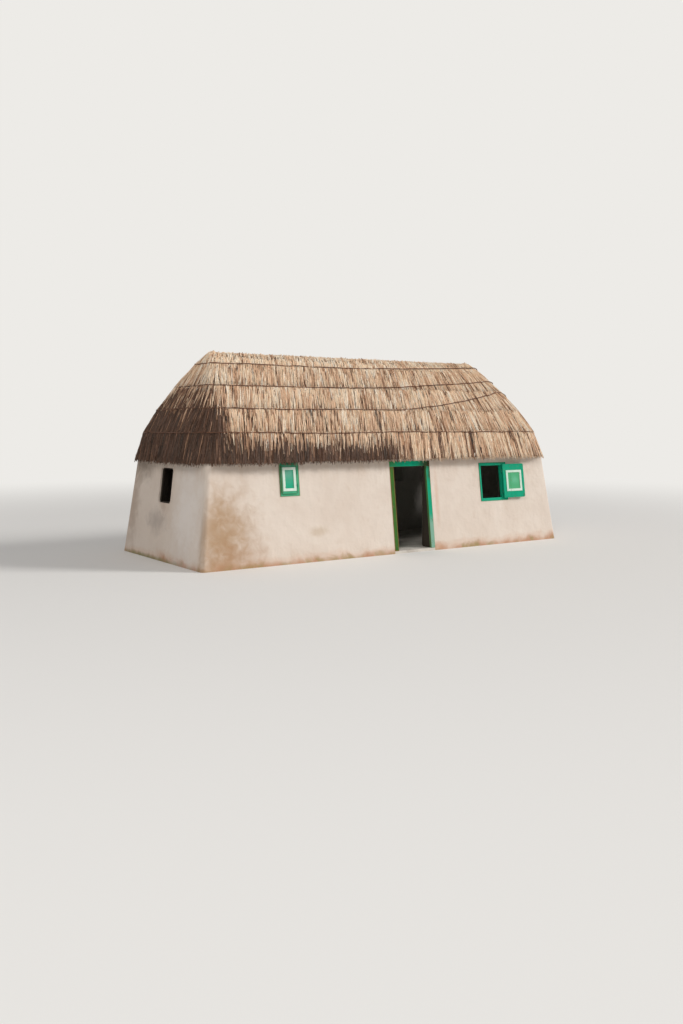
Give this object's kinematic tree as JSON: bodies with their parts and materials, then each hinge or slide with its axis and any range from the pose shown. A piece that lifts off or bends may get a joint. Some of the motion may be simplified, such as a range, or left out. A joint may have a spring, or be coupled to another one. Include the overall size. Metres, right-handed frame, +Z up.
{
  "type": "cunucu house",
  "caption": "Small single-storey farm house with battered limewashed walls, a plank door, shuttered windows and a hipped roof of stalk thatch in courses.",
  "frame": {"origin": "middle of the footprint at ground level", "axes": "+Z up, +X to the right along the front, -Y out of the front wall with the door"},
  "size_m": [9.8, 4, 4.3914],
  "materials": {
    "limewashed_wall": "matt limewash over clay plaster",
    "tamped_earth": "matt",
    "green_paint": "brushed oil paint, satin",
    "white_paint": "brushed oil paint, satin",
    "hinge_iron": "forged, matt",
    "roof_timber": "sawn, weathered",
    "roof_poles": "peeled poles, weathered",
    "stalk_thatch": "dry stalks, matt",
    "binding_wood": "dark split rods, matt"
  },
  "bodies": {
    "house": {"front_wall_left": "limewashed_wall", "front_wall_right": "limewashed_wall", "front_wall_over_door": "limewashed_wall", "back_wall": "limewashed_wall", "left_end_wall": "limewashed_wall", "right_end_wall": "limewashed_wall", "door_lintel": "roof_timber", "earth_floor": "tamped_earth", "door_sill": "tamped_earth", "door_left_jamb": "green_paint", "door_right_jamb": "green_paint", "door_head": "green_paint", "door_hinge_hooks": "hinge_iron", "left_window_frame": "green_paint", "left_shutter": "green_paint", "left_shutter_moulding": "white_paint", "right_window_frame": "green_paint", "right_shutter": "green_paint", "right_shutter_moulding": "white_paint", "shutter_hinges": "hinge_iron", "back_window_frames": "green_paint", "back_shutters": "green_paint", "back_shutter_mouldings": "white_paint", "front_wall_plate": "roof_timber", "back_wall_plate": "roof_timber", "left_wall_plate": "roof_timber", "right_wall_plate": "roof_timber", "ridge_beam": "roof_timber", "front_rafters": "roof_poles", "back_rafters": "roof_poles", "end_rafters": "roof_poles", "hip_rafters": "roof_poles", "tie_beams": "roof_poles", "front_laths": "roof_poles", "back_laths": "roof_poles", "end_laths": "roof_poles", "thatch_eave_course": "stalk_thatch", "thatch_second_course": "stalk_thatch", "thatch_third_course": "stalk_thatch", "thatch_fourth_course": "stalk_thatch", "thatch_ridge_cap": "stalk_thatch", "binding_rods": "binding_wood"},
    "door": {"door_leaf": "green_paint", "door_strap_hinges": "hinge_iron"}
  },
  "joints": [
    {"name": "door_hinge", "type": "hinge", "parent": "house", "child": "door", "pos_m": [-0.142, -1.63612, 0.07], "axis": [0, 0, 1], "range_deg": [-90, 20]}
  ]
}
